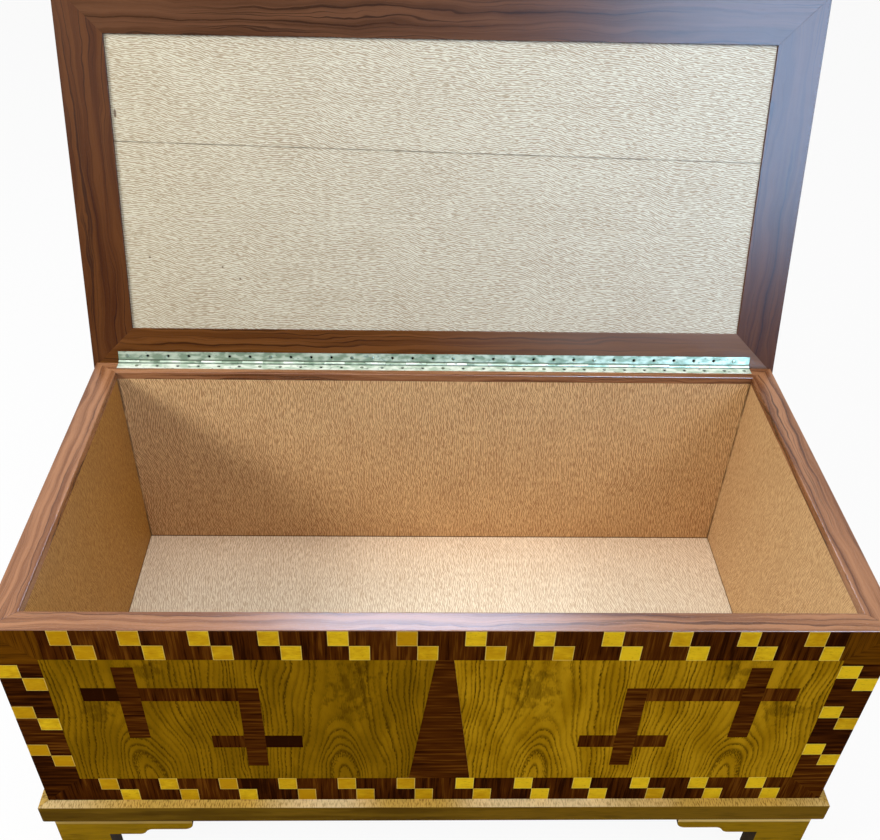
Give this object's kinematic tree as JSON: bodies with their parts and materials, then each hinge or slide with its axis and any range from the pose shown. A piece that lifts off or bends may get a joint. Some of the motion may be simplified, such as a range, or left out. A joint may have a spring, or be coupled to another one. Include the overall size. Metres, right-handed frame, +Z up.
{
  "type": "dowry chest",
  "caption": "Rectangular veneered storage chest on bracket feet, with a geometric marquetry front and a full-length piano hinge that carries a framed, lined lid.",
  "frame": {"origin": "on the floor, in the middle of the box that the chest takes up with its lid open", "axes": "+X along the front from the left end to the right end, +Y from the front to the back, +Z up"},
  "size_m": [1.022, 0.6733, 0.9857],
  "materials": {
    "rosewood": "polished reddish brown rosewood",
    "dark_veneer": "polished, nearly black rosewood veneer",
    "pale_veneer": "polished lemon to orange satinwood veneer",
    "field_veneer": "polished olive-gold ash veneer with dark figure",
    "bar_veneer": "polished dark brown rosewood veneer",
    "base_wood": "polished gold-brown moulding and feet",
    "lining_wood": "unpolished pale board with a fine dark fleck",
    "carcass_wood": "plain softwood board",
    "hinge_brass": "pale, nickel-washed brass",
    "screw_brass": "dull brass"
  },
  "bodies": {
    "chest": {"back_veneer": "rosewood", "base_moulding_back": "base_wood", "base_moulding_front": "base_wood", "base_moulding_left": "base_wood", "base_moulding_right": "base_wood", "bottom_board": "carcass_wood", "carcass_back": "carcass_wood", "carcass_front": "carcass_wood", "carcass_left": "carcass_wood", "carcass_right": "carcass_wood", "foot_back_left_long": "base_wood", "foot_back_left_short": "base_wood", "foot_back_right_long": "base_wood", "foot_back_right_short": "base_wood", "foot_front_left_long": "base_wood", "foot_front_left_short": "base_wood", "foot_front_right_long": "base_wood", "foot_front_right_short": "base_wood", "foot_glue_blocks": "carcass_wood", "front_bars": "bar_veneer", "front_border": "dark_veneer", "front_fields": "field_veneer", "front_squares": "pale_veneer", "front_wedge": "bar_veneer", "left_bars": "bar_veneer", "left_border": "dark_veneer", "left_fields": "field_veneer", "right_bars": "bar_veneer", "right_border": "dark_veneer", "right_fields": "field_veneer", "lining_back": "lining_wood", "lining_floor": "lining_wood", "lining_front": "lining_wood", "lining_left": "lining_wood", "lining_right": "lining_wood", "rim_back": "rosewood", "rim_front": "rosewood", "rim_left": "rosewood", "rim_right": "rosewood", "hinge_leaf_lower": "hinge_brass", "hinge_pin": "hinge_brass", "hinge_screws_lower": "screw_brass"},
    "lid": {"lid_bars": "bar_veneer", "lid_border": "dark_veneer", "lid_core": "carcass_wood", "lid_fields": "field_veneer", "lid_lining": "lining_wood", "lid_rail_back": "rosewood", "lid_rail_front": "rosewood", "lid_squares": "pale_veneer", "lid_stile_left": "rosewood", "lid_stile_right": "rosewood", "lid_wedge": "bar_veneer", "hinge_leaf_upper": "hinge_brass", "hinge_screws_upper": "screw_brass"}
  },
  "joints": [
    {"name": "lid_hinge", "type": "hinge", "parent": "chest", "child": "lid", "pos_m": [0, 0.17035, 0.4915], "axis": [1, 0, 0], "range_deg": [0, 105.9]}
  ]
}
